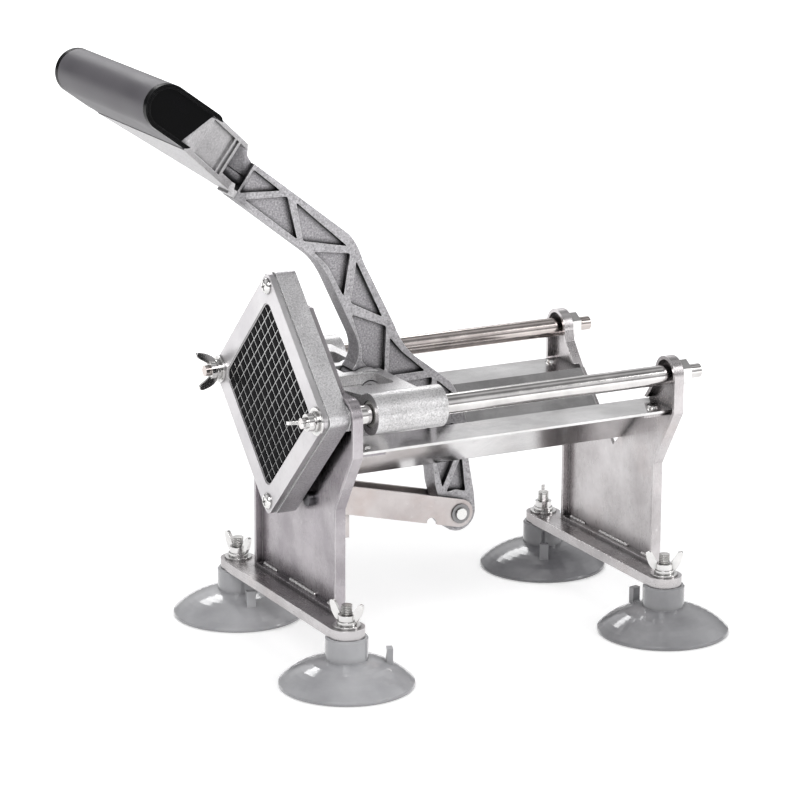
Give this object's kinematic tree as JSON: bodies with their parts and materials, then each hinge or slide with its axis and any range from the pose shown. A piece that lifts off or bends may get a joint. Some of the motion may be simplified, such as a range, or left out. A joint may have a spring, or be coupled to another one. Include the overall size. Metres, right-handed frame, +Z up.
{
  "type": "lever potato chip cutter",
  "caption": "Hand-operated cutter that presses a potato through a crossed blade grid, with a sliding pusher on two rods, a long lever and suction-cup feet.",
  "frame": {"origin": "on the table, under the middle of the overall length and width", "axes": "+X along the rods from the cutting head to the rear, +Y to the far side, +Z up"},
  "size_m": [0.3483, 0.2116, 0.3358],
  "materials": {
    "sheet_steel": "satin",
    "trough_steel": "polished",
    "rod_steel": "polished",
    "blade_steel": "bright",
    "plated_steel": "bright plated",
    "link_steel": "satin",
    "dark_steel": "dark",
    "cast_aluminium": "blasted",
    "cover_aluminium": "satin",
    "cup_rubber": "matte",
    "pusher_plastic": "matte",
    "bearing_plastic": "matte",
    "grip_plastic": "semi gloss",
    "cap_plastic": "gloss"
  },
  "bodies": {
    "frame": {"front_upright": "sheet_steel", "rear_upright": "sheet_steel", "front_base": "sheet_steel", "rear_base": "sheet_steel", "trough": "trough_steel", "trough_rivets": "plated_steel", "near_rod": "rod_steel", "far_rod": "rod_steel", "rod_washers": "plated_steel", "rod_nuts": "plated_steel", "head_casting": "cast_aluminium", "cover_plate": "cover_aluminium", "front_blades": "blade_steel", "back_blades": "blade_steel", "head_screws": "plated_steel", "head_washers": "plated_steel", "head_wing_nuts": "plated_steel", "link_bracket": "link_steel", "bracket_screws": "dark_steel", "cup_front_near": "cup_rubber", "cup_front_far": "cup_rubber", "cup_rear_near": "cup_rubber", "cup_rear_far": "cup_rubber", "foot_studs": "plated_steel", "foot_washers": "plated_steel", "foot_wing_nuts": "plated_steel"},
    "carriage_body": {"carriage": "cast_aluminium", "near_bushing": "bearing_plastic", "far_bushing": "bearing_plastic", "pusher_block": "pusher_plastic", "pusher_screws": "plated_steel", "lever_pin": "plated_steel", "lever_pin_clips": "plated_steel"},
    "lever_body": {"lever": "cast_aluminium", "yoke": "cast_aluminium", "yoke_bolt": "plated_steel", "grip_cover": "grip_plastic", "near_grip_cap": "cap_plastic", "far_grip_cap": "cap_plastic"},
    "link_body": {"link": "link_steel", "link_rear_pin": "plated_steel", "link_front_pin": "plated_steel", "link_clips": "plated_steel"}
  },
  "joints": [
    {"name": "lever_swing", "type": "hinge", "parent": "carriage_body", "child": "lever_body", "pos_m": [-0.02165, 0, 0.146], "axis": [0, 1, 0], "range_deg": [0, 65.54]},
    {"name": "carriage_slide", "type": "slide", "parent": "frame", "child": "carriage_body", "axis": [1, 0, 0], "range_m": [0, 0.105]},
    {"name": "link_swing", "type": "hinge", "parent": "lever_body", "child": "link_body", "pos_m": [0.03785, 0, 0.0665], "axis": [0, -1, 0], "range_deg": [0, 59.9]}
  ],
  "couplings": [
    {"joint": "carriage_slide", "follows": "lever_swing", "m_per_rad": 0.091792},
    {"joint": "link_swing", "follows": "lever_swing", "ratio": 0.91334}
  ]
}
